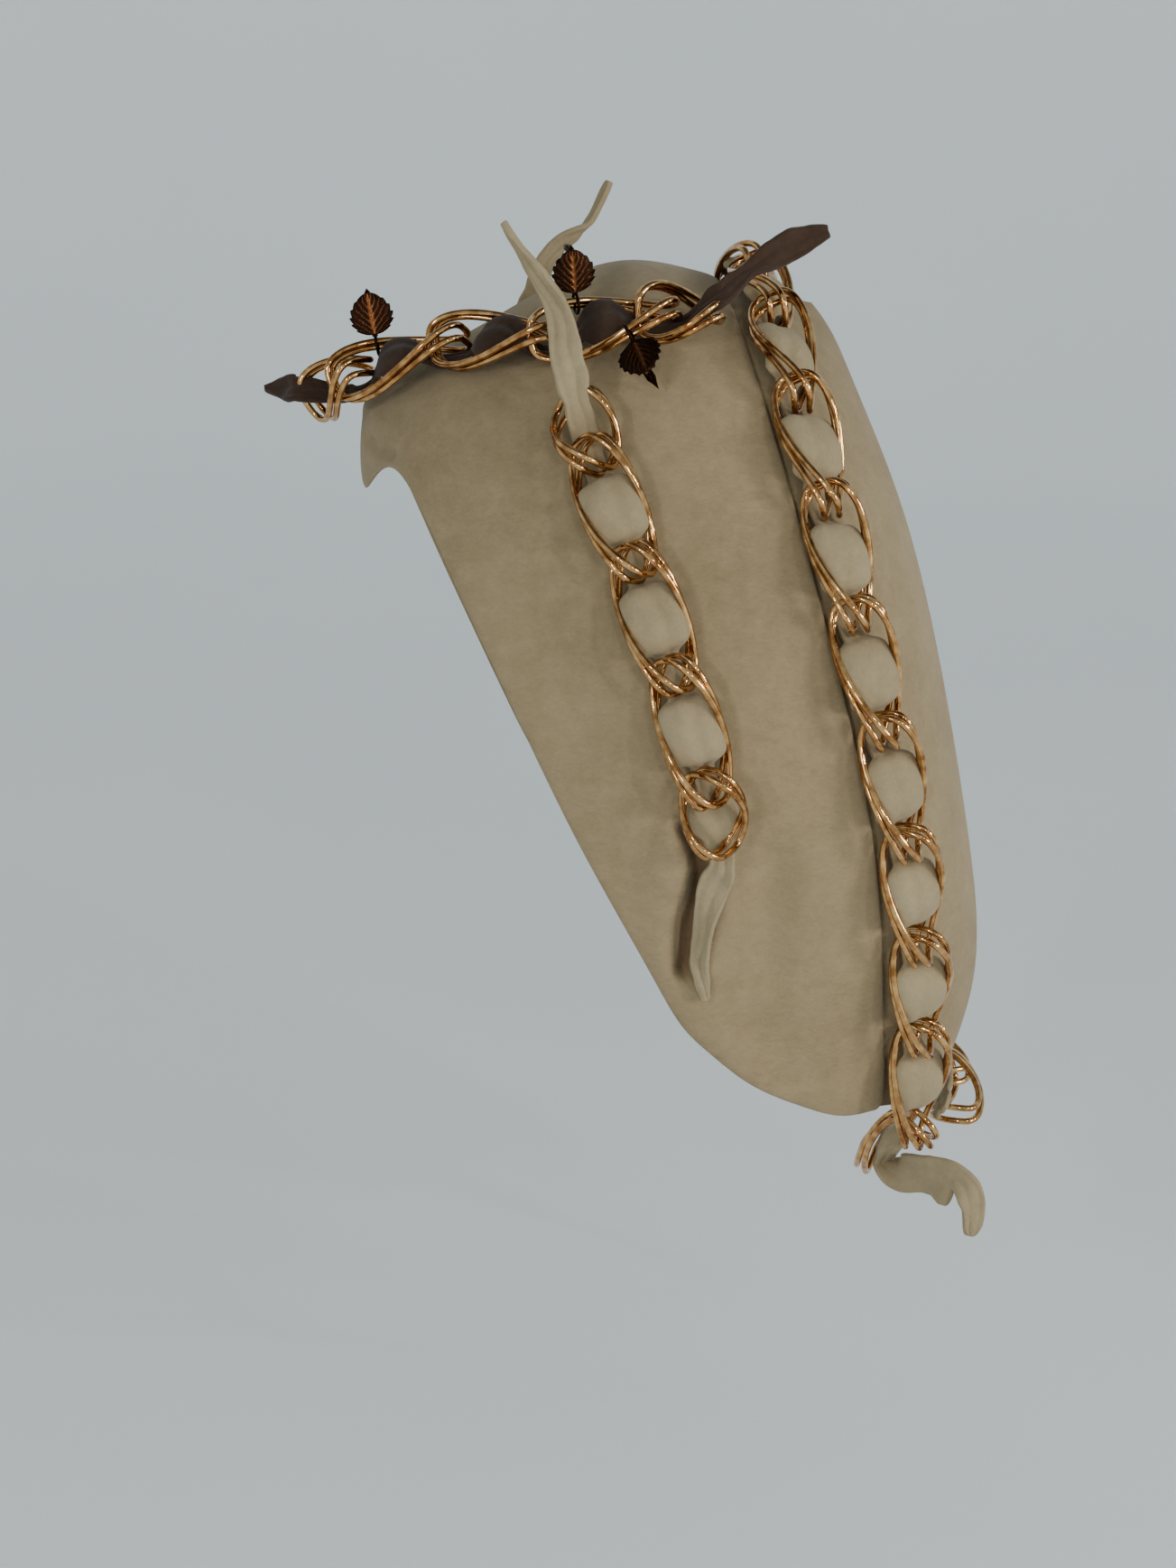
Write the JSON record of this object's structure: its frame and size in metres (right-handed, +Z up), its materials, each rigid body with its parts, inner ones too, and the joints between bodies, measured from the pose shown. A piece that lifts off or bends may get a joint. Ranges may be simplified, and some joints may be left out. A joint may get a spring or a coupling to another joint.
{
  "type": "turban",
  "caption": "Moulded felt turban in two panels that leaves the face open, with laced curb chains, curled felt strips and leaf drops.",
  "frame": {"origin": "inside of the crown where it rests on the top of the head, on the middle plane", "axes": "+Z up, -Y towards the brow opening, +X towards the wearer's left"},
  "size_m": [0.1821, 0.2017, 0.2729],
  "materials": {
    "felt": "matt wool felt",
    "felt_strip": "matt wool felt",
    "dark_strip": "matt wool felt",
    "chain": "polished, rose-gold plated",
    "leaf": "antique bronze"
  },
  "bodies": {
    "root": {"front_panel": "felt", "back_panel": "felt", "band_link_01": "chain", "band_link_02": "chain", "band_link_03": "chain", "band_link_04": "chain", "band_link_05": "chain", "band_link_06": "chain", "band_link_07": "chain", "band_link_08": "chain", "band_link_09": "chain", "band_link_10": "chain", "band_link_11": "chain", "band_link_12": "chain", "band_link_13": "chain", "band_link_14": "chain", "band_link_15": "chain", "band_link_16": "chain", "band_link_17": "chain", "band_link_18": "chain", "band_link_19": "chain", "band_link_20": "chain", "band_link_21": "chain", "band_link_22": "chain", "band_strip": "felt_strip", "side_link_left_01": "chain", "side_link_left_02": "chain", "side_link_left_03": "chain", "side_link_left_04": "chain", "side_link_left_05": "chain", "side_strip_left": "felt_strip", "side_link_right_01": "chain", "side_link_right_02": "chain", "side_link_right_03": "chain", "side_link_right_04": "chain", "side_link_right_05": "chain", "side_strip_right": "felt_strip", "wreath_link_01": "chain", "wreath_link_02": "chain", "wreath_link_03": "chain", "wreath_link_04": "chain", "wreath_link_05": "chain", "wreath_strip": "dark_strip", "leaf_charm_1": "leaf", "leaf_charm_2": "leaf", "leaf_charm_3": "leaf"}
  },
  "joints": []
}
